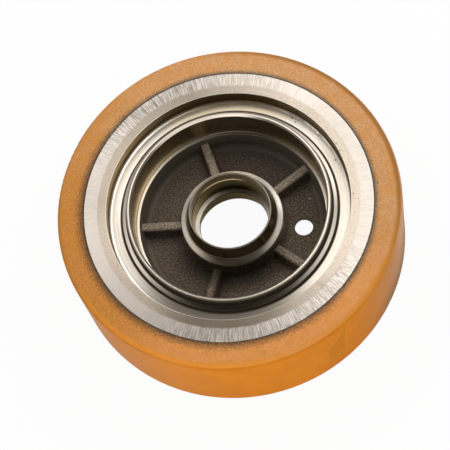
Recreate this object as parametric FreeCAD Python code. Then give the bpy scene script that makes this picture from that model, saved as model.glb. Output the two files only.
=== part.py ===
import FreeCAD, Part
import math
import os

# Load wheel with a bonded tyre, lying flat: axis along +Z, base at z = 0, brake drum side up.
# Sizes in millimetres, angles in degrees. The sizes below add up to a wheel 267 across and 75 wide.

# Radial sizes, from the axis outwards
bearing_seat_diameter = 62.0
bearing_shoulder = 3.8
ring_groove_depth = 1.5
collar_land = 1.3
collar_taper = 3.2
boss_ring_width = 4.8
boss_draft = 2.4
web_span = 28.6
cast_wall_draft = 2.3
drum_foot_width = 2.4
lip_bevel_width = 1.3
lip_land = 2.1
lip_neck_taper = 1.5
lip_step_width = 2.7
lip_foot_taper = 1.8
groove_width = 9.2
rim_face_width = 17.9
tyre_thickness = 21.0
back_rim_width = 15.5
back_wall_draft = 4.0

# Heights along the bore, from the base upwards
boss_recess_back = 13.0
bearing_seat_length = 16.0
bearing_shoulder_length = 4.7
seat_chamfer = 0.7
ring_groove_width = 2.15
collar_mouth_length = 8.05
collar_recess_front = 14.4

# Web and ribs, measured from the boss's back end
web_setback = 9.0
web_thickness = 6.0
rib_height = 11.0

# Depths below the rim face
groove_depth = 13.0
lip_step_depth = 10.4
lip_step_slope = 1.1
lip_depth = 2.4
lip_bevel_drop = 1.4
drum_depth = 29.8

# Boss ring, below the collar's top
collar_height = 11.4
boss_ring_drop = 2.7

# Ribs and web hole
rib_count = 5
first_rib_angle = 92.0
rib_top_width = 6.5
rib_root_width = 10.5
rib_flare_height = 1.0
rib_flare_width = 6.0
web_hole_diameter = 14.6
web_hole_inset = 12.0
web_hole_turn = -3.7
web_hole_back_flare = 2.5

# Roundings and chamfers
tyre_edge_radius = 4.0
hub_edge_chamfer = 0.6
machined_edge = 0.4
cast_edge = 1.0
collar_foot_fillet = 1.5
groove_lip_fillet = 1.2
groove_wall_fillet = 2.5
rib_edge = 2.4
rib_root_fillet = 3.0
boss_foot_fillet = 4.0
web_fillet = 4.5

# Radii that follow
seat_radius = bearing_seat_diameter / 2
shoulder_radius = seat_radius - bearing_shoulder
ring_groove_radius = seat_radius + ring_groove_depth
collar_radius = seat_radius + collar_land
collar_foot_radius = collar_radius + collar_taper
boss_radius = collar_foot_radius + boss_ring_width
boss_foot_radius = boss_radius + boss_draft
web_radius = boss_foot_radius + web_span
drum_foot_radius = web_radius + cast_wall_draft
drum_radius = drum_foot_radius + drum_foot_width
lip_inner_radius = drum_radius + lip_bevel_width
lip_outer_radius = lip_inner_radius + lip_land
lip_neck_radius = lip_outer_radius + lip_neck_taper
lip_step_radius = lip_neck_radius + lip_step_width
lip_foot_radius = lip_step_radius + lip_foot_taper
rim_opening_radius = lip_foot_radius + groove_width
hub_radius = rim_opening_radius + rim_face_width
tyre_radius = hub_radius + tyre_thickness
back_opening_radius = hub_radius - back_rim_width
back_floor_radius = back_opening_radius - back_wall_draft

# Heights that follow
boss_back = boss_recess_back
back_shoulder = boss_back + bearing_seat_length
front_shoulder = back_shoulder + bearing_shoulder_length
seat_top = front_shoulder + bearing_seat_length
ring_groove_bottom = seat_top + seat_chamfer
ring_groove_top = ring_groove_bottom + ring_groove_width
collar_top = ring_groove_top + collar_mouth_length
rim_face = collar_top + collar_recess_front
web_back = boss_back + web_setback
web_front = web_back + web_thickness
rib_top = web_front + rib_height
collar_foot = collar_top - collar_height
boss_ring_edge = collar_foot - boss_ring_drop
drum_foot = rim_face - drum_depth
lip_top = rim_face - lip_depth
lip_step_inner = rim_face - lip_step_depth + lip_step_slope
lip_step_outer = rim_face - lip_step_depth
groove_floor = rim_face - groove_depth

# Angles that follow
full_turn = 360.0
rib_pitch = full_turn / rib_count
web_hole_angle = first_rib_angle - rib_pitch - rib_pitch / 2 + web_hole_turn

# A rounding takes at most this share of the shorter side beside its corner
rounding_share = 0.45


def turned_point(radius, height):
    """A point of a turned section."""
    return FreeCAD.Vector(radius, 0, height)


def rib_point(across, height):
    """A point of a rib's section, which looks along the rib."""
    return FreeCAD.Vector(0, across, height)


def rounded_face(corners, place):
    """A flat face whose outline goes through (u, v, rounding) corners."""
    points = [place(u, v) for u, v, rounding in corners]
    count = len(points)
    starts, middles, ends = [], [], []
    for i, corner in enumerate(points):
        rounding = corners[i][2]
        back = points[i - 1] - corner
        ahead = points[(i + 1) % count] - corner
        half_angle = back.getAngle(ahead) / 2
        room = rounding_share * min(back.Length, ahead.Length)
        reach = min(rounding / math.tan(half_angle), room)
        radius = reach * math.tan(half_angle)
        back.normalize()
        ahead.normalize()
        bisector = (back + ahead).normalize()
        starts.append(corner + back * reach)
        ends.append(corner + ahead * reach)
        middles.append(corner + bisector * (radius / math.sin(half_angle) - radius))
    edges = []
    for i in range(count):
        if corners[i][2] > 0:
            edges.append(Part.Arc(starts[i], middles[i], ends[i]).toShape())
        edges.append(Part.makeLine(ends[i], starts[(i + 1) % count]))
    return Part.Face(Part.Wire(edges))


def turned(corners):
    """A solid of revolution about the wheel's axis."""
    section = rounded_face(corners, turned_point)
    return section.revolve(FreeCAD.Vector(0, 0, 0), FreeCAD.Vector(0, 0, 1), full_turn)


def hub_casting():
    """The turned hub: boss, web, brake drum with its lip, groove and rim."""
    bore = [
        (seat_radius, boss_back, machined_edge),
        (seat_radius, back_shoulder, 0),
        (shoulder_radius, back_shoulder, machined_edge),
        (shoulder_radius, front_shoulder, machined_edge),
        (seat_radius, front_shoulder, 0),
        (seat_radius, seat_top, 0),
        (seat_radius + seat_chamfer, ring_groove_bottom, 0),
        (ring_groove_radius, ring_groove_bottom, 0),
        (ring_groove_radius, ring_groove_top, 0),
        (seat_radius, ring_groove_top, 0),
        (seat_radius, collar_top, machined_edge),
    ]
    boss_front = [
        (collar_radius, collar_top, machined_edge),
        (collar_foot_radius, collar_foot, collar_foot_fillet),
        (boss_radius, boss_ring_edge, cast_edge),
        (boss_foot_radius, web_front, boss_foot_fillet),
    ]
    drum = [
        (web_radius, web_front, web_fillet),
        (drum_foot_radius, drum_foot, machined_edge),
        (drum_radius, drum_foot, machined_edge),
        (drum_radius, lip_top - lip_bevel_drop, machined_edge),
        (lip_inner_radius, lip_top, 0),
        (lip_outer_radius, lip_top, machined_edge),
        (lip_neck_radius, lip_step_inner, machined_edge),
        (lip_step_radius, lip_step_outer, machined_edge),
        (lip_foot_radius, groove_floor, groove_lip_fillet),
    ]
    rim = [
        (rim_opening_radius, groove_floor, groove_wall_fillet),
        (rim_opening_radius, rim_face, machined_edge),
        (hub_radius - hub_edge_chamfer, rim_face, 0),
        (hub_radius, rim_face - hub_edge_chamfer, 0),
        (hub_radius, hub_edge_chamfer, 0),
        (hub_radius - hub_edge_chamfer, 0, 0),
        (back_opening_radius, 0, machined_edge),
    ]
    back = [
        (back_floor_radius, web_back, web_fillet),
        (boss_foot_radius, web_back, boss_foot_fillet),
        (boss_radius, boss_back, cast_edge),
    ]
    return turned(bore + boss_front + drum + rim + back)


def rib(angle):
    """One cast rib on the web, sunk into the boss and into the drum's wall."""
    root = rib_root_width / 2
    top = rib_top_width / 2
    flare = root + rib_flare_width
    flare_top = web_front + rib_flare_height
    web_middle = web_back + web_thickness / 2
    section = rounded_face(
        [
            (-flare, web_middle, 0),
            (flare, web_middle, 0),
            (root, flare_top, rib_root_fillet),
            (top, rib_top, rib_edge),
            (-top, rib_top, rib_edge),
            (-root, flare_top, rib_root_fillet),
        ],
        rib_point,
    )
    section.translate(FreeCAD.Vector(collar_foot_radius, 0, 0))
    bar = section.extrude(FreeCAD.Vector(drum_radius - collar_foot_radius, 0, 0))
    bar.rotate(FreeCAD.Vector(0, 0, 0), FreeCAD.Vector(0, 0, 1), angle)
    return bar


def web_hole():
    """The round hole through the web, in the second gap between ribs."""
    angle = math.radians(web_hole_angle)
    distance = boss_foot_radius + web_hole_inset
    x = distance * math.cos(angle)
    y = distance * math.sin(angle)
    radius = web_hole_diameter / 2
    drill = Part.makeCylinder(radius, web_thickness, FreeCAD.Vector(x, y, web_back))
    flare_radius = radius + web_hole_back_flare
    flare = Part.makeCone(flare_radius, radius, web_hole_back_flare, FreeCAD.Vector(x, y, web_back))
    return drill.fuse(flare)


def make_hub():
    """The whole hub, one casting with its ribs and hole."""
    hub = hub_casting()
    for i in range(rib_count):
        hub = hub.fuse(rib(first_rib_angle + i * rib_pitch))
    return hub.cut(web_hole()).removeSplitter()


def make_tyre():
    """The tyre, moulded onto the hub's outer face."""
    return turned(
        [
            (hub_radius, 0, 0),
            (tyre_radius, 0, tyre_edge_radius),
            (tyre_radius, rim_face, tyre_edge_radius),
            (hub_radius, rim_face, 0),
        ]
    )


os.makedirs("parts", exist_ok=True)
make_hub().exportStep("parts/hub.step")
make_tyre().exportStep("parts/tyre.step")
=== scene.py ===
import math
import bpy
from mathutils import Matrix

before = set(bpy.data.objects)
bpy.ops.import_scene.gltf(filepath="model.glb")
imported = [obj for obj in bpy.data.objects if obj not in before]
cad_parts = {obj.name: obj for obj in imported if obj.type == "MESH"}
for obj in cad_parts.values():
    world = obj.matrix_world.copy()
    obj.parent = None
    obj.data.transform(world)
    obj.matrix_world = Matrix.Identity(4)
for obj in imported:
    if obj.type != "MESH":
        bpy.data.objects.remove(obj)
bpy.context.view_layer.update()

from types import SimpleNamespace

import bpy
from mathutils import Matrix, Vector

# Radii and heights of the wheel's faces, in millimetres as in the part
JOINT_RADIUS = 112.5
TREAD_RADIUS = 133.5
RIM_HEIGHT = 75.0
GROOVE_HEIGHT = 62.0
WEB_HEIGHT = 28.0

# Turned faces of the hub: inner and outer radius and their blur, lower and upper height and their blur
FACES = {
    "groove_floor": (85.8, 94.3, 0.3, 61.0, 63.4, 0.4),
    "lip_foot": (83.8, 85.5, 0.15, 62.3, 64.4, 0.2),
    "lip_step": (81.0, 83.5, 0.15, 63.8, 66.2, 0.3),
    "lip_neck": (79.6, 80.9, 0.12, 65.9, 72.3, 0.2),
    "drum_foot": (73.7, 75.4, 0.1, 44.7, 45.7, 0.2),
    "boss_ring": (35.8, 40.25, 0.15, 44.5, 49.6, 0.3),
    "collar_wall": (32.2, 36.2, 0.3, 49.0, 60.0, 0.4),
    "seat_edge": (31.05, 31.8, 0.05, 49.6, 50.6, 0.1),
    "shoulder": (27.5, 30.9, 0.1, 33.0, 34.2, 0.2),
}

# Upper edges of the hub: inner and outer radius and their blur, the heights where the edge starts and is full
EDGES = {
    "rim_edge": (94.5, 95.1, 0.1, 74.4, 74.7),
    "lip_rim": (78.4, 79.6, 0.15, 71.6, 71.9),
    "lip_shine": (76.1, 78.3, 0.15, 71.0, 71.3),
    "collar": (31.0, 32.8, 0.1, 59.8, 60.2),
}

# Cast surfaces of the hub: inner and outer radius, the heights where the cast surface starts to end and ends
INNER_CAST = (40.2, 73.5, 44.6, 44.9)
BACK_CAST = (73.0, 96.8, 22.6, 23.0)
CAST_BLUR = 0.12

# Soft bounds on the hub: the two radii or the two heights between which a zone starts or ends
RIM_FACE_RISE = (74.6, 74.9)
GROOVE_WALL_START = (92.6, 94.3)
GROOVE_WALL_TOP = (74.3, 74.6)
WEB_FRONT_RISE = (23.0, 25.0)
RIB_TOP_RISE = (31.0, 38.0)
SMOOTH_WALL_START = (66.0, 68.5)
WEB_GRIME_AND_SHADOW_END = (44.0, 62.0)
DRUM_WALL = (75.5, 76.5)
RING_CREST = (36.0, 37.8)
BORE_END = (31.05, 31.3)
MOUTH_RISE = (52.2, 52.6)
JOINT_DIRT_START = (112.2, 112.4)
JOINT_DIRT_RISE = (74.0, 74.4)

# Inner edge of the ground band, and how far slow noise and the strokes push it out
GROUND_RADIUS = 98.4
GROUND_WANDER = 2.5
GROUND_RAGGED = 4.0

# Soft bounds on the tyre, as on the hub
TOP_FACE_END = (131.8, 132.8)
OUTER_EDGE_START = (128.8, 132.5)
BROWN_EDGE_START = (128.0, 131.5)
FAR_SHADE_START = (132.3, 133.3)
FAR_SHADE_RISE = (68.0, 71.0)
PALE_SHEEN_RISE = (35.0, 65.0)
LOW_DARK_END = (8.0, 42.0)
FOOT_SHADOW_END = (1.0, 5.0)
SOOT_SEAM_END = (112.7, 113.1)

# Width of the soot beside the hub, where there is little bloom and sheen and where there is much
SOOT_WIDTHS = (9.0, 4.5)

# Flow mark on the tread: angles of its top and foot, heights between which it narrows, half its width at both
MARK_TOP = 293.5
MARK_FOOT = 289.4
MARK_TAPER = (39.0, 67.0)
MARK_HALF_WIDTHS = (7.6, 1.2)
MARK_FOOT_FADE = (6.0, 36.0)
MARK_TOP_FADE = (64.5, 69.5)

# Sides of the wheel that differ in wear, dirt, painted light and painted shade, in degrees from +X to +Y
NEAR_DARK_SIDE = 250.0
FAR_RIGHT_SHADE_SIDE = 50.0
LEFT_SIDE = 200.0
FAR_HIGHLIGHT_SIDE = 58.0
TAN_SIDE = 75.0
BLOOM_AND_SHEEN_SIDE = 36.87
WORN_EDGE_SIDE = 235.0
BROWN_EDGE_SIDE = 20.0

# Small marks: radius, degrees, height and size
PITS = [
    (91.1, 40.2, GROOVE_HEIGHT, 0.8),
    (89.2, 37.5, GROOVE_HEIGHT, 0.6),
    (90.9, 7.7, GROOVE_HEIGHT, 0.8),
    (96.5, 344.8, RIM_HEIGHT, 0.6),
    (95.6, 7.6, RIM_HEIGHT, 0.6),
    (95.9, 11.5, RIM_HEIGHT, 0.6),
]
NICK = (63.3, 2.9, WEB_HEIGHT, 0.8)
SMUDGE = (99.0, 298.0, RIM_HEIGHT, 3.5)
TYRE_SCRATCH = (115.5, 348.5, RIM_HEIGHT, 0.8)

# Strokes and furrows of the ground band: how fine they are round the wheel and along a radius
STROKES = (290.0, 0.10)
FURROWS = (140.0, 0.06)

# Colours of the cast surfaces
CAST_DARK = (0.024, 0.018, 0.013)
CAST_PALE = (0.27, 0.205, 0.150)
# painted shadow of the far drum wall on the web at the far right
CAST_FAR_SHADOW = (0.012, 0.010, 0.008)
RIB_WORN = (0.54, 0.44, 0.33)
# grime and painted shadow of the boss on the web in front
WEB_GRIME_AND_SHADOW = (0.010, 0.008, 0.006)
SMOOTH_WALL = (0.105, 0.088, 0.064)
NICK_METAL = (0.60, 0.55, 0.48)

# Colours of the turned faces
TURNED_DARK = (0.35, 0.29, 0.23)
TURNED_PALE = (0.455, 0.385, 0.31)
TURNED_CLOUD = (0.28, 0.225, 0.165)
# painted highlights on the rim face at the right, the far side and the left
FACE_HIGHLIGHT = (0.56, 0.485, 0.40)
FACE_LEFT_HIGHLIGHT = (0.64, 0.535, 0.42)
FACE_SPECK = (0.27, 0.22, 0.165)
# painted shade on the rim face in front, for its darker reflection there
FACE_NEAR_SHADE = (0.19, 0.155, 0.11)
# painted highlight along the rim's opening edge
RIM_EDGE_HIGHLIGHT = (0.80, 0.72, 0.62)
# painted shade: upright walls darker and browner for the dark reflections they catch
WALL_SHADE = (0.35, 0.28, 0.175)
# painted reflection: the drum wall paler on the left
DRUM_REFLECTION = (0.55, 0.45, 0.30)
# painted shade on the groove's outer wall
GROOVE_WALL_SHADE = (0.165, 0.125, 0.078)
LIP_SHINE = (0.72, 0.645, 0.55)
LIP_RIM = (0.12, 0.098, 0.066)
# dirt and painted shade, dark in the lip's foot and on its neck
LIP_DIRT_AND_SHADE = (0.045, 0.036, 0.022)
# painted shade on the collar's wall
COLLAR_WALL_SHADE = (0.20, 0.16, 0.105)
# painted shade: the bore and its mouth near black
BORE_SHADE = (0.022, 0.017, 0.011)
BORE_MOUTH_SHADE = (0.032, 0.025, 0.017)
COLLAR = (0.19, 0.165, 0.13)
SEAT_EDGE = (0.42, 0.31, 0.17)

# Colours of the bright floor of the groove and of the bore's shoulder
BRIGHT_DARK = (0.68, 0.61, 0.52)
BRIGHT_PALE = (0.84, 0.78, 0.70)
# painted light on the bright floor at the far side, lifting the outer wall's shadow
BRIGHT_FAR_LIGHT = (0.97, 0.90, 0.78)
BRIGHT_RIGHT = (0.50, 0.44, 0.36)
BRIGHT_TAN = (0.86, 0.70, 0.47)
BRIGHT_NEAR_DARK = (0.15, 0.125, 0.09)

# Colours of the drum's foot, the lip's step and the boss ring
FOOT_DARK = (0.68, 0.63, 0.565)
FOOT_PALE = (0.84, 0.80, 0.74)
# painted shade on the drum's foot at the far right, where the wall shades it
FOOT_FAR_SHADE = (0.26, 0.23, 0.19)
# the lip's step, with painted shade in front
STEP_PALE = (0.61, 0.545, 0.475)
STEP_SHADE = (0.20, 0.17, 0.13)
# boss ring: painted shade toward the collar and in front, painted highlight on its crest
RING_DARK = (0.17, 0.130, 0.075)
RING_PALE = (0.97, 0.91, 0.83)

# Colours of the ground band and of the marks on the rim
GROUND_DARK = (0.20, 0.17, 0.14)
GROUND_PALE = (0.68, 0.615, 0.545)
# painted highlights on the ground band at the far side and the left
GROUND_FAR_HIGHLIGHT = (0.88, 0.80, 0.71)
GROUND_HIGHLIGHT = (0.76, 0.67, 0.59)
JOINT_DIRT = (0.05, 0.04, 0.032)
SMUDGE_DIRT = (0.24, 0.20, 0.15)
PIT_DIRT = (0.05, 0.04, 0.03)

# Tint of the hub's reflections at a low angle
METAL_TINT = (0.75, 0.68, 0.55)

# Colours of the tyre's top face
AMBER_DARK = (0.47, 0.182, 0.034)
AMBER_PALE = (0.70, 0.305, 0.080)
# dusty bloom with painted sheen on the top face
DUSTY_SHEEN_DARK = (0.52, 0.255, 0.100)
DUSTY_SHEEN_PALE = (0.765, 0.425, 0.200)
# painted light on the top face's near side
TOP_NEAR_LIGHT = (0.88, 0.375, 0.120)
TOP_PATCH = (0.66, 0.270, 0.050)
EDGE_CLEAN = (0.66, 0.245, 0.022)
EDGE_WORN = (0.84, 0.300, 0.035)
EDGE_BROWN = (0.30, 0.150, 0.060)
# painted shade: dark line on the tyre's far outer edge
EDGE_FAR_SHADE = (0.30, 0.12, 0.015)
SOOT_DARK = (0.070, 0.054, 0.040)
SOOT_DUSTY_SHEEN = (0.125, 0.108, 0.090)

# Colours of the tread, and how far light scatters in the tyre in each colour
TREAD_DARK = (0.62, 0.198, 0.012)
TREAD_PALE = (0.67, 0.226, 0.016)
# painted sheen on the tread's ends
TREAD_SHEEN = (0.60, 0.33, 0.17)
TREAD_PALE_SHEEN = (0.80, 0.50, 0.30)
# the tread darker towards the floor on the right
TREAD_LOW_DARK = (0.22, 0.120, 0.060)
TREAD_MARK = (0.42, 0.155, 0.006)
# painted contact shadow along the tread's foot
TREAD_FOOT_SHADOW = (0.30, 0.11, 0.010)
TYRE_SCATTER = (1.0, 0.45, 0.12)

# Floor, with its reach in metres, and the room's own light
FLOOR_REACH = 6.0
FLOOR_COLOR = (0.90, 0.90, 0.90)
FLOOR_WHITE = (1.0, 1.0, 1.0)
FLOOR_WHITE_SHARE = 0.95
ROOM_COLOR = (1.0, 0.93, 0.84)
ROOM_STRENGTH = 0.02

# Camera: place in metres, tilt and roll in degrees, sensor and lens in millimetres
CAMERA_PLACE = (-0.00706, -0.52439, 1.20561)
CAMERA_TILT = 24.1763
CAMERA_ROLL = -18.2195
CAMERA_SENSOR = 36.0
CAMERA_LENS = 130.144

# Soft boxes face this point from this distance, in metres
WHEEL_CENTRE = Vector((0.0, 0.0, 0.06))
SOFTBOX_DISTANCE = 1.0

# Name, azimuth, elevation, width, height and radiance of each soft box
SOFTBOXES = [
    ("key", 47, 42, 0.72, 0.30, 4.8),
    ("key_middle", 55, 58, 0.60, 0.28, 2.0),
    ("key_top", 45, 72, 0.25, 0.30, 3.9),
    ("right", 0, 65, 0.30, 0.55, 3.2),
    ("far", 108, 58, 0.33, 0.30, 2.0),
    ("far_left", 120, 42, 0.39, 0.30, 2.9),
    ("left", 165, 45, 0.75, 0.45, 1.9),
    ("near_right", 320, 45, 0.40, 0.30, 0.6),
    ("front", 270, 17, 1.70, 0.60, 1.88),
    ("front_left", 239, 8, 0.52, 0.30, 3.5),
]


class Graph:
    """A material's node tree, with short ways to add and link nodes."""

    def __init__(self, name):
        self.material = bpy.data.materials.new(name)
        self.material.use_nodes = True
        self.tree = self.material.node_tree
        self.tree.nodes.clear()

    def put(self, socket, value):
        """Links a socket to another socket, or sets it to a plain value."""
        if isinstance(value, bpy.types.NodeSocket):
            self.tree.links.new(value, socket)
        elif isinstance(value, tuple) and len(value) == 3 and socket.type == "RGBA":
            socket.default_value = (*value, 1.0)
        else:
            socket.default_value = value

    def add(self, kind, inputs=None, **settings):
        """Adds a node with its settings and its inputs."""
        node = self.tree.nodes.new(kind)
        for key, value in settings.items():
            setattr(node, key, value)
        for key, value in (inputs or {}).items():
            self.put(node.inputs[key], value)
        return node

    def math(self, operation, *values, clamp=False):
        """The result of one operation on numbers."""
        inputs = dict(enumerate(values))
        return self.add("ShaderNodeMath", inputs, operation=operation, use_clamp=clamp).outputs[0]

    def times(self, *values):
        """The product of any number of values."""
        product = values[0]
        for value in values[1:]:
            product = self.math("MULTIPLY", product, value)
        return product

    def plus(self, *values):
        """The sum of any number of values."""
        total = values[0]
        for value in values[1:]:
            total = self.math("ADD", total, value)
        return total

    def most(self, *values):
        """The largest of any number of values."""
        largest = values[0]
        for value in values[1:]:
            largest = self.math("MAXIMUM", largest, value)
        return largest

    def vector(self, x, y, z):
        """A vector from three numbers."""
        return self.add("ShaderNodeCombineXYZ", {"X": x, "Y": y, "Z": z}).outputs[0]

    def ramp(self, value, low, high, start=0.0, end=1.0):
        """A smooth step of a value from start at low to end at high."""
        inputs = {"Value": value, "From Min": low, "From Max": high, "To Min": start, "To Max": end}
        return self.add("ShaderNodeMapRange", inputs, interpolation_type="SMOOTHSTEP").outputs[0]

    def band(self, value, low, high, soft):
        """1 between low and high, 0 outside, with soft edges."""
        inside = self.ramp(value, low - soft, low + soft)
        outside = self.ramp(value, high - soft, high + soft, 1.0, 0.0)
        return self.math("MULTIPLY", inside, outside)

    def noise(self, vector, scale, detail=3.0, roughness=0.55):
        """Noise between 0 and 1 over a vector."""
        inputs = {"Vector": vector, "Scale": scale, "Detail": detail, "Roughness": roughness}
        return self.add("ShaderNodeTexNoise", inputs).outputs["Fac"]

    def mix(self, factor, first, second):
        """Mixes two colours, by the sockets that the node keeps for colours."""
        inputs = {0: factor, 6: first, 7: second}
        return self.add("ShaderNodeMix", inputs, data_type="RGBA").outputs[2]

    def blend(self, factor, first, second):
        """Mixes two numbers."""
        return self.add("ShaderNodeMix", {0: factor, 2: first, 3: second}, data_type="FLOAT").outputs[0]

    def paint(self, color, *layers):
        """Lays colours over a colour, one after the other, each by its share."""
        for share, layer in layers:
            color = self.mix(share, color, layer)
        return color

    def place(self):
        """The surface point in millimetres, its radius and height, and its unit direction in X and Y."""
        coords = self.add("ShaderNodeTexCoord").outputs["Object"]
        scaled = self.add("ShaderNodeVectorMath", {0: coords, "Scale": 1000.0}, operation="SCALE")
        point = scaled.outputs[0]
        x, y, z = self.add("ShaderNodeSeparateXYZ", {0: point}).outputs
        radius = self.math("SQRT", self.plus(self.times(x, x), self.times(y, y)))
        across = self.math("DIVIDE", x, radius)
        along = self.math("DIVIDE", y, radius)
        return SimpleNamespace(point=point, radius=radius, height=z, across=across, along=along)

    def toward(self, at, degrees):
        """How far a place lies toward an angle round the wheel, from -1 to 1."""
        turn = math.radians(degrees)
        return self.plus(self.times(at.across, math.cos(turn)), self.times(at.along, math.sin(turn)))

    def spot(self, at, radius, degrees, height, size):
        """1 within a small size of a place on the wheel, 0 outside."""
        turn = math.radians(degrees)
        centre = (radius * math.cos(turn), radius * math.sin(turn), height)
        distance = self.add("ShaderNodeVectorMath", {0: at.point, 1: centre}, operation="DISTANCE")
        return self.ramp(distance.outputs["Value"], 0.5 * size, 1.2 * size, 1.0, 0.0)

    def radial_noise(self, at, fineness, detail, roughness):
        """Noise drawn out along the radius, by how fine it is round the wheel and along a radius."""
        round_wheel, along_radius = fineness
        x = self.times(at.across, round_wheel)
        y = self.times(at.along, round_wheel)
        z = self.times(at.radius, along_radius)
        return self.noise(self.vector(x, y, z), 1.0, detail, roughness)

    def bump(self, relief):
        """A normal from a relief in metres."""
        return self.add("ShaderNodeBump", {"Strength": 1.0, "Distance": 1.0, "Height": relief}).outputs[0]

    def surface(self, inputs):
        """Ends the material with one principled shader."""
        shader = self.add("ShaderNodeBsdfPrincipled", inputs)
        out = self.add("ShaderNodeOutputMaterial")
        self.tree.links.new(shader.outputs[0], out.inputs["Surface"])
        return self.material


def hub_noise(g, at):
    """Slow clouds, cast grain, turned rings and ground strokes."""
    furrow = g.radial_noise(at, FURROWS, 2.0, 0.6)
    return SimpleNamespace(
        clouds=g.noise(at.point, 0.045, 4.0, 0.6),
        wander=g.noise(at.point, 0.12),
        grain=g.noise(at.point, 0.75, 5.0, 0.65),
        fine=g.noise(at.point, 2.2, 3.0, 0.6),
        rings=g.noise(g.vector(at.radius, at.height, g.times(at.across, 2.0)), 1.6, 4.0, 0.7),
        broad_rings=g.noise(g.vector(at.radius, at.height, g.times(at.along, 1.5)), 0.45, 3.0, 0.6),
        strokes=g.radial_noise(at, STROKES, 2.5, 0.6),
        furrows=g.math("ABSOLUTE", g.math("SUBTRACT", furrow, 0.5)),
    )


def hub_sides(g, at):
    """Darker in front, with painted shade and grime; painted shade at the far right; painted highlights on
    three sides; strokes near and far.
    """
    return SimpleNamespace(
        near_dark=g.toward(at, NEAR_DARK_SIDE),
        far_right_shade=g.toward(at, FAR_RIGHT_SHADE_SIDE),
        tan=g.toward(at, TAN_SIDE),
        left=g.ramp(g.toward(at, LEFT_SIDE), 0.75, 0.97),
        right=g.ramp(at.across, 0.0, 0.8),
        far_highlight=g.ramp(g.toward(at, FAR_HIGHLIGHT_SIDE), 0.80, 0.98),
        stroke_depth=g.ramp(g.times(at.along, at.along), 0.20, 0.80, 0.25, 1.0),
    )


def hub_zones(g, at, noise, side):
    """The surfaces of the hub, each 1 on its own place and 0 elsewhere."""
    zone = SimpleNamespace()
    for name, (inner, outer, blur, low, high, soft) in FACES.items():
        ring = g.band(at.radius, inner, outer, blur)
        setattr(zone, name, g.times(ring, g.band(at.height, low, high, soft)))
    for name, (inner, outer, blur, start, full) in EDGES.items():
        ring = g.band(at.radius, inner, outer, blur)
        setattr(zone, name, g.times(ring, g.ramp(at.height, start, full)))

    # Level faces and upright walls
    normal = g.add("ShaderNodeNewGeometry").outputs["Normal"]
    facing = g.math("ABSOLUTE", g.add("ShaderNodeSeparateXYZ", {0: normal}).outputs[2])
    level = g.ramp(facing, 0.80, 0.95)
    zone.wall = g.ramp(facing, 0.25, 0.6, 1.0, 0.0)
    zone.drum_foot = g.times(zone.drum_foot, level)
    zone.shoulder = g.times(zone.shoulder, level)
    zone.collar_wall = g.times(zone.collar_wall, zone.wall)
    zone.drum_wall = g.times(zone.wall, g.band(at.radius, *DRUM_WALL, 0.2))
    below_rim = g.ramp(at.height, *GROOVE_WALL_TOP, 1.0, 0.0)
    zone.groove_wall = g.times(g.ramp(at.radius, *GROOVE_WALL_START), below_rim, zone.wall)
    zone.bore = g.ramp(at.radius, *BORE_END, 1.0, 0.0)
    zone.mouth = g.times(zone.bore, g.ramp(at.height, *MOUTH_RISE))
    zone.bright = g.most(zone.groove_floor, zone.shoulder)
    # dirt and painted shade in the lip's foot and on its neck
    zone.lip_dirt = g.most(zone.lip_foot, zone.lip_neck)

    # Cast surfaces in front and behind, the tops of the ribs and the smooth wall below the drum
    casts = []
    for inner, outer, low, high in (INNER_CAST, BACK_CAST):
        ring = g.band(at.radius, inner, outer, CAST_BLUR)
        casts.append(g.times(ring, g.ramp(at.height, low, high, 1.0, 0.0)))
    zone.cast = g.most(*casts)
    zone.rib_top = g.times(casts[0], g.ramp(at.height, *RIB_TOP_RISE), g.ramp(facing, 0.1, 0.7))
    foot = g.times(casts[0], g.ramp(at.height, *WEB_FRONT_RISE), g.ramp(at.radius, *SMOOTH_WALL_START))
    zone.smooth_wall = g.times(foot, g.blend(zone.rib_top, 1.0, 0.0))

    # Rim face, its ground band with a ragged inner edge, and the dirt in the joint with the tyre
    zone.face = g.ramp(at.height, *RIM_FACE_RISE)
    wander = g.times(noise.wander, GROUND_WANDER)
    ragged = g.times(noise.strokes, GROUND_RAGGED)
    past_edge = g.math("SUBTRACT", at.radius, g.plus(GROUND_RADIUS, wander, ragged))
    zone.ground = g.times(zone.face, g.ramp(past_edge, -0.5, 0.5))
    joint = g.times(g.ramp(at.radius, *JOINT_DIRT_START), g.ramp(at.height, *JOINT_DIRT_RISE))
    zone.joint = g.times(joint, g.blend(side.right, 1.0, 0.4))
    return zone


def cast_color(g, at, noise, side, zone):
    """Dark grainy web and walls, worn rib tops that stay dark in front as painted shade, grime and painted
    shadow round the boss.
    """
    shade = g.plus(g.times(noise.grain, 0.6), g.times(noise.fine, 0.4))
    # rib tops lose their paler wear in front, as painted shade of the boss
    rib_unshaded = g.ramp(side.near_dark, 0.2, 0.95, 0.8, 0.10)
    rib_wear = g.times(zone.rib_top, rib_unshaded, g.ramp(shade, 0.40, 0.62, 0.3, 1.0))
    # grime and painted shadow of the boss on the web in front
    grime_and_shadow = g.times(g.ramp(at.radius, *WEB_GRIME_AND_SHADOW_END, 0.75, 0.0), g.ramp(side.near_dark, 0.2, 0.9))
    return g.paint(
        g.mix(g.ramp(shade, 0.37, 0.67), CAST_DARK, CAST_PALE),
        # painted shadow of the far drum wall on the web at the far right
        (g.ramp(side.far_right_shade, 0.65, 0.98, 0.0, 0.40), CAST_FAR_SHADOW),
        (rib_wear, RIB_WORN),
        (grime_and_shadow, WEB_GRIME_AND_SHADOW),
        (zone.smooth_wall, SMOOTH_WALL),
        (g.spot(at, *NICK), NICK_METAL),
    )


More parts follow.
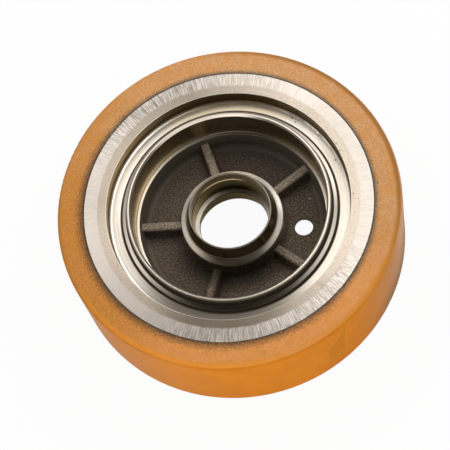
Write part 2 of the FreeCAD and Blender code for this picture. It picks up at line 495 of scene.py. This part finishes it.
def bright_color(g, at, noise, side):
    """The clean floor of the groove, with painted light at the far side and darker in front."""
    right_share = g.times(side.right, 0.7, g.ramp(at.along, 0.1, 0.5, 1.0, 0.3))
    return g.paint(
        g.mix(g.ramp(noise.broad_rings, 0.35, 0.65), BRIGHT_DARK, BRIGHT_PALE),
        # painted light at the far side, lifting the outer wall's shadow
        (g.ramp(at.along, 0.1, 0.5, 0.0, 0.6), BRIGHT_FAR_LIGHT),
        (right_share, BRIGHT_RIGHT),
        (g.ramp(side.tan, 0.78, 0.96, 0.0, 0.8), BRIGHT_TAN),
        (g.ramp(side.near_dark, 0.60, 0.95, 0.0, 0.85), BRIGHT_NEAR_DARK),
    )


def foot_color(g, noise, side):
    """The polished foot of the drum, with painted shade at the far right."""
    polished = g.mix(g.ramp(noise.broad_rings, 0.35, 0.65), FOOT_DARK, FOOT_PALE)
    return g.mix(g.ramp(side.far_right_shade, 0.50, 0.95, 0.0, 0.7), polished, FOOT_FAR_SHADE)


def ring_color(g, at, side):
    """The ring round the boss: painted highlight on its crest, painted shade toward the collar and in front.
    """
    ring_light = g.times(g.ramp(at.radius, *RING_CREST, 0.4, 1.0), g.ramp(side.near_dark, 0.05, 0.90, 1.0, 0.20))
    return g.mix(ring_light, RING_DARK, RING_PALE)


def turned_color(g, at, noise, side, zone):
    """Turned faces, with walls darker as painted shade, painted highlights and shade on the rim face, and
    cleaner rings.
    """
    # painted highlights on the rim face: at the right and the far side here, at the left below
    face_highlight = g.times(zone.face, g.most(g.times(side.right, 0.45), g.times(side.far_highlight, 0.7)))
    specks = g.times(zone.face, g.ramp(noise.grain, 0.40, 0.65, 0.0, 0.40))
    # painted shade on the rim face in front, for its darker reflection there
    face_near_shade = g.times(zone.face, g.ramp(side.near_dark, 0.80, 0.99, 0.0, 0.6))
    # painted reflection: the drum wall paler on the left
    drum_reflection = g.times(zone.drum_wall, g.ramp(at.across, -0.9, -0.3, 0.7, 0.0))
    return g.paint(
        g.mix(noise.rings, TURNED_DARK, TURNED_PALE),
        (g.ramp(noise.clouds, 0.45, 0.75, 0.0, 0.35), TURNED_CLOUD),
        (face_highlight, FACE_HIGHLIGHT),
        (g.times(zone.face, side.left, 0.7), FACE_LEFT_HIGHLIGHT),
        (specks, FACE_SPECK),
        (face_near_shade, FACE_NEAR_SHADE),
        # painted highlight along the rim's opening edge
        (g.times(zone.rim_edge, 0.6), RIM_EDGE_HIGHLIGHT),
        # painted shade on the upright walls, the groove's outer wall and the collar's wall
        (zone.wall, WALL_SHADE),
        (drum_reflection, DRUM_REFLECTION),
        (zone.groove_wall, GROOVE_WALL_SHADE),
        (g.times(zone.lip_shine, 0.8), LIP_SHINE),
        (g.times(zone.lip_rim, 0.7), LIP_RIM),
        (zone.lip_dirt, LIP_DIRT_AND_SHADE),
        (zone.collar_wall, COLLAR_WALL_SHADE),
        # painted shade: the bore and its mouth near black
        (zone.bore, BORE_SHADE),
        (zone.mouth, BORE_MOUTH_SHADE),
        (zone.collar, COLLAR),
        (zone.seat_edge, SEAT_EDGE),
        (zone.bright, bright_color(g, at, noise, side)),
        (zone.drum_foot, foot_color(g, noise, side)),
        # painted shade on the lip's step in front
        (zone.lip_step, g.mix(g.ramp(side.near_dark, 0.5, 0.9), STEP_PALE, STEP_SHADE)),
        (zone.boss_ring, ring_color(g, at, side)),
    )


def ground_color(g, at, noise, side):
    """The ground band, with radial strokes that show most in front and at the far side, and painted
    highlights at the far side and the left.
    """
    weakest = g.ramp(at.along, 0.50, 0.90, 0.6, 0.0)
    lines = g.ramp(noise.strokes, 0.36, 0.60, weakest, 1.0)
    stroke_shade = g.times(lines, g.ramp(noise.furrows, 0.0, 0.10, 0.25, 1.0))
    shade = g.blend(side.stroke_depth, 0.6, stroke_shade)
    return g.paint(
        g.mix(shade, GROUND_DARK, GROUND_PALE),
        # painted highlights on the ground band at the far side and the left
        (g.times(shade, g.ramp(at.along, 0.50, 0.90, 0.0, 0.4)), GROUND_FAR_HIGHLIGHT),
        (g.times(g.most(side.left, side.far_highlight), 0.4), GROUND_HIGHLIGHT),
    )


def hub_material():
    """Cast iron: dark grainy web, turned faces, ground outer band on the rim."""
    g = Graph("hub_iron")
    at = g.place()
    noise = hub_noise(g, at)
    side = hub_sides(g, at)
    zone = hub_zones(g, at, noise, side)

    smudge = g.times(g.spot(at, *SMUDGE), g.ramp(noise.grain, 0.42, 0.60, 0.0, 0.6))
    metal_color = g.paint(
        turned_color(g, at, noise, side, zone),
        (zone.ground, ground_color(g, at, noise, side)),
        (zone.joint, JOINT_DIRT),
        (smudge, SMUDGE_DIRT),
        (g.most(*[g.spot(at, *pit) for pit in PITS]), PIT_DIRT),
    )
    bare_metal = g.blend(g.most(zone.joint, zone.lip_dirt), 1.0, 0.0)

    turned_rough = g.blend(zone.wall, g.ramp(noise.rings, 0.3, 0.7, 0.30, 0.38), 0.27)
    turned_rough = g.blend(zone.lip_dirt, turned_rough, 0.9)
    ground_rough = g.ramp(noise.strokes, 0.35, 0.65, 0.42, 0.30)
    metal_rough = g.blend(zone.ground, turned_rough, ground_rough)
    cast_rough = g.blend(zone.smooth_wall, g.ramp(noise.grain, 0.3, 0.7, 0.78, 0.58), 0.62)

    # Relief in millimetres
    cast_grain = g.plus(noise.grain, g.times(noise.fine, 0.4))
    cast_relief = g.times(cast_grain, g.blend(zone.smooth_wall, 0.55, 0.08))
    ground_relief = g.times(noise.strokes, side.stroke_depth, 0.06)
    metal_relief = g.blend(zone.ground, g.times(noise.rings, 0.012), ground_relief)
    relief = g.blend(zone.cast, metal_relief, cast_relief)

    return g.surface({
        "Base Color": g.mix(zone.cast, metal_color, cast_color(g, at, noise, side, zone)),
        "Metallic": g.blend(zone.cast, bare_metal, 0.25),
        "Roughness": g.blend(zone.cast, metal_rough, cast_rough),
        "Normal": g.bump(g.times(relief, 0.001)),
        "Specular Tint": METAL_TINT,
        "Anisotropic": 0.5,
        "Anisotropic Rotation": 0.25,
        "Tangent": g.add("ShaderNodeTangent", direction_type="RADIAL", axis="Z").outputs[0],
    })


def top_color(g, at, noise, bloom_and_sheen):
    """The tyre's top face: amber under a dusty bloom with painted sheen, painted light on the near side, with
    a cleaner, worn or brown outer edge.
    """
    speckle = g.ramp(noise.grain, 0.32, 0.68)
    amber = g.mix(speckle, AMBER_DARK, AMBER_PALE)
    dusty_sheen = g.mix(speckle, DUSTY_SHEEN_DARK, DUSTY_SHEEN_PALE)
    # painted light on the top face's near side
    near = g.times(g.ramp(at.along, -0.9, -0.45, 0.75, 0.0), g.ramp(noise.grain, 0.3, 0.7, 0.6, 1.0))
    edge = g.ramp(g.plus(at.radius, g.times(noise.patches, 3.0)), *OUTER_EDGE_START)
    clean_edge = g.times(edge, g.ramp(at.across, 0.0, 0.7, 0.15, 0.8))
    worn_edge = g.times(edge, g.ramp(g.toward(at, WORN_EDGE_SIDE), 0.70, 0.95, 0.0, 0.8))
    brown_share = g.ramp(g.toward(at, BROWN_EDGE_SIDE), 0.3, 0.95, 0.0, 0.75)
    brown_edge = g.times(g.ramp(g.plus(at.radius, noise.patches), *BROWN_EDGE_START), brown_share)
    return g.paint(
        g.mix(bloom_and_sheen, amber, dusty_sheen),
        (near, TOP_NEAR_LIGHT),
        (g.ramp(noise.patches, 0.45, 0.70, 0.0, 0.45), TOP_PATCH),
        (clean_edge, EDGE_CLEAN),
        (worn_edge, EDGE_WORN),
        (brown_edge, EDGE_BROWN),
    )


def flow_mark(g, at):
    """A mark on the near side of the tread: thin below its upper edge, wider and fading downward."""
    from_top = g.times(g.toward(at, MARK_TOP + 90.0), TREAD_RADIUS)
    drift = TREAD_RADIUS * math.radians(MARK_TOP - MARK_FOOT)
    away = g.math("ABSOLUTE", g.plus(from_top, g.ramp(at.height, *MARK_TAPER, drift, 0.0)))
    half_width = g.ramp(at.height, *MARK_TAPER, *MARK_HALF_WIDTHS)
    inside = g.ramp(g.math("SUBTRACT", away, half_width), -1.0, 0.6, 1.0, 0.0)
    near_side = g.ramp(at.along, -0.5, -0.3, 1.0, 0.0)
    fade = g.times(g.ramp(at.height, *MARK_FOOT_FADE), g.ramp(at.height, *MARK_TOP_FADE, 1.0, 0.0))
    return g.times(inside, near_side, fade)


def tread_color(g, at, noise):
    """The smooth tread: painted sheen at the sides, darker towards the floor on the right, the flow mark, a
    painted shadow line at its foot.
    """
    # painted sheen on the tread's ends
    end_sheen = g.most(g.ramp(at.across, 0.45, 0.95, 0.0, 0.75), g.ramp(at.across, -0.85, -0.3, 0.25, 0.0))
    mottle = g.ramp(noise.grain, 0.35, 0.65, 0.7, 1.0)
    pale_sheen = g.times(g.ramp(at.across, 0.76, 0.90, 0.0, 0.6), g.ramp(at.height, *PALE_SHEEN_RISE), mottle)
    low_share = g.ramp(at.height, *LOW_DARK_END, 1.0, 0.0)
    # the tread darker towards the floor on the right
    low_dark = g.times(g.ramp(at.across, 0.50, 0.78, 0.0, 0.68), low_share, mottle)
    return g.paint(
        g.mix(g.ramp(noise.clouds, 0.35, 0.7), TREAD_DARK, TREAD_PALE),
        (g.times(end_sheen, g.ramp(noise.patches, 0.30, 0.65, 1.0, 0.8)), TREAD_SHEEN),
        (pale_sheen, TREAD_PALE_SHEEN),
        (low_dark, TREAD_LOW_DARK),
        (g.times(flow_mark(g, at), 0.42), TREAD_MARK),
        # painted contact shadow along the tread's foot
        (g.ramp(at.height, *FOOT_SHADOW_END, 0.55, 0.0), TREAD_FOOT_SHADOW),
    )


def soot_share(g, at, noise, uneven):
    """Soot beside the hub, wider where there is little bloom and sheen, with one scratch."""
    width = g.ramp(uneven, -0.8, 0.9, *SOOT_WIDTHS)
    out = g.math("DIVIDE", g.math("SUBTRACT", at.radius, JOINT_RADIUS), width)
    cover = g.times(g.math("SUBTRACT", 1.0, out, clamp=True), 1.15)
    soot = g.math("SUBTRACT", cover, g.ramp(noise.grain, 0.36, 0.62, 0.0, 0.40), clamp=True)
    seam = g.ramp(at.radius, *SOOT_SEAM_END, 0.9, 0.0)
    return g.most(soot, seam, g.spot(at, *TYRE_SCRATCH))


def tyre_material():
    """Amber polyurethane: satin top face under a dusty bloom with painted sheen, soot beside the hub, smooth
    tread with painted sheen at its ends.
    """
    g = Graph("tyre_polyurethane")
    at = g.place()
    noise = SimpleNamespace(
        grain=g.noise(at.point, 1.3, 4.0, 0.7),
        clouds=g.noise(at.point, 0.03, 4.0, 0.6),
        patches=g.noise(at.point, 0.11, 3.0, 0.6),
    )
    flat = g.ramp(at.radius, *TOP_FACE_END, 1.0, 0.0)

    # Dusty bloom with painted sheen, thicker on one half of the top face
    uneven = g.plus(g.toward(at, BLOOM_AND_SHEEN_SIDE), g.times(g.math("SUBTRACT", noise.clouds, 0.5), 1.6))
    bloom_and_sheen = g.ramp(uneven, -0.8, 0.9)

    # painted shade: dark line on the tyre's far outer edge
    far_edge_shade = g.times(g.ramp(at.radius, *FAR_SHADE_START, 0.0, 0.6), g.ramp(at.along, -0.1, 0.3))
    color = g.paint(
        g.mix(flat, tread_color(g, at, noise), top_color(g, at, noise, bloom_and_sheen)),
        (g.times(far_edge_shade, g.ramp(at.height, *FAR_SHADE_RISE)), EDGE_FAR_SHADE),
        (soot_share(g, at, noise, uneven), g.mix(bloom_and_sheen, SOOT_DARK, SOOT_DUSTY_SHEEN)),
    )
    tread_rough = g.ramp(noise.clouds, 0.3, 0.7, 0.32, 0.42)
    top_rough = g.ramp(noise.grain, 0.3, 0.7, 0.42, 0.55)
    return g.surface({
        "Base Color": color,
        "Roughness": g.blend(flat, tread_rough, top_rough),
        "Normal": g.bump(g.times(noise.grain, g.blend(flat, 0.00002, 0.00014))),
        "Specular IOR Level": 0.005,
        "Subsurface Weight": 0.12,
        "Subsurface Radius": TYRE_SCATTER,
        "Subsurface Scale": 0.004,
    })


def floor_material():
    """A pale floor that shows white to the camera and keeps a soft shadow."""
    g = Graph("studio_floor")
    diffuse = g.add("ShaderNodeBsdfDiffuse", {"Color": FLOOR_COLOR})
    white = g.add("ShaderNodeEmission", {"Color": FLOOR_WHITE, "Strength": 1.0})
    path = g.add("ShaderNodeLightPath").outputs
    seen = g.most(path["Is Camera Ray"], path["Is Glossy Ray"], path["Is Transmission Ray"])
    mixed = g.add("ShaderNodeMixShader", {0: g.times(seen, FLOOR_WHITE_SHARE)})
    g.tree.links.new(diffuse.outputs[0], mixed.inputs[1])
    g.tree.links.new(white.outputs[0], mixed.inputs[2])
    out = g.add("ShaderNodeOutputMaterial")
    g.tree.links.new(mixed.outputs[0], out.inputs["Surface"])
    return g.material


def dress(node, material):
    """Gives a node of the frame its material."""
    bpy.data.objects[node].data.materials.clear()
    bpy.data.objects[node].data.materials.append(material)


def add_floor():
    """One square at the height the wheel stands on."""
    reach = FLOOR_REACH
    corners = [(-reach, -reach, 0), (reach, -reach, 0), (reach, reach, 0), (-reach, reach, 0)]
    mesh = bpy.data.meshes.new("floor")
    mesh.from_pydata(corners, [], [(0, 1, 2, 3)])
    floor = bpy.data.objects.new("floor", mesh)
    bpy.context.scene.collection.objects.link(floor)
    mesh.materials.append(floor_material())


def add_camera():
    """The camera, at the angle from which the wheel is pictured."""
    data = bpy.data.cameras.new("camera")
    data.sensor_width = CAMERA_SENSOR
    data.lens = CAMERA_LENS
    camera = bpy.data.objects.new("camera", data)
    bpy.context.scene.collection.objects.link(camera)
    tilt = Matrix.Rotation(math.radians(CAMERA_TILT), 4, "X")
    roll = Matrix.Rotation(math.radians(CAMERA_ROLL), 4, "Z")
    camera.matrix_world = Matrix.Translation(CAMERA_PLACE) @ tilt @ roll
    bpy.context.scene.camera = camera


def add_softbox(name, azimuth, elevation, width, height, radiance):
    """A soft box that faces the wheel. Azimuth runs from +X to +Y, in degrees; sizes are in metres."""
    turn = math.radians(azimuth)
    rise = math.radians(elevation)
    out = Vector((math.cos(rise) * math.cos(turn), math.cos(rise) * math.sin(turn), math.sin(rise)))
    side = Vector((-math.sin(turn), math.cos(turn), 0.0))
    data = bpy.data.lights.new(name, "AREA")
    data.shape = "RECTANGLE"
    data.size = width
    data.size_y = height
    data.energy = radiance * math.pi * width * height
    light = bpy.data.objects.new(name, data)
    bpy.context.scene.collection.objects.link(light)
    axes = Matrix((side, out.cross(side), out)).transposed().to_4x4()
    light.matrix_world = Matrix.Translation(WHEEL_CENTRE + SOFTBOX_DISTANCE * out) @ axes


def add_world():
    """A dim warm room round the lamps."""
    world = bpy.data.worlds.new("studio")
    bpy.context.scene.world = world
    world.use_nodes = True
    shade = world.node_tree.nodes["Background"]
    shade.inputs["Color"].default_value = (*ROOM_COLOR, 1.0)
    shade.inputs["Strength"].default_value = ROOM_STRENGTH


dress("hub", hub_material())
dress("tyre", tyre_material())
add_floor()
add_camera()
add_world()
for softbox in SOFTBOXES:
    add_softbox(*softbox)

bpy.context.scene.view_settings.view_transform = "Standard"
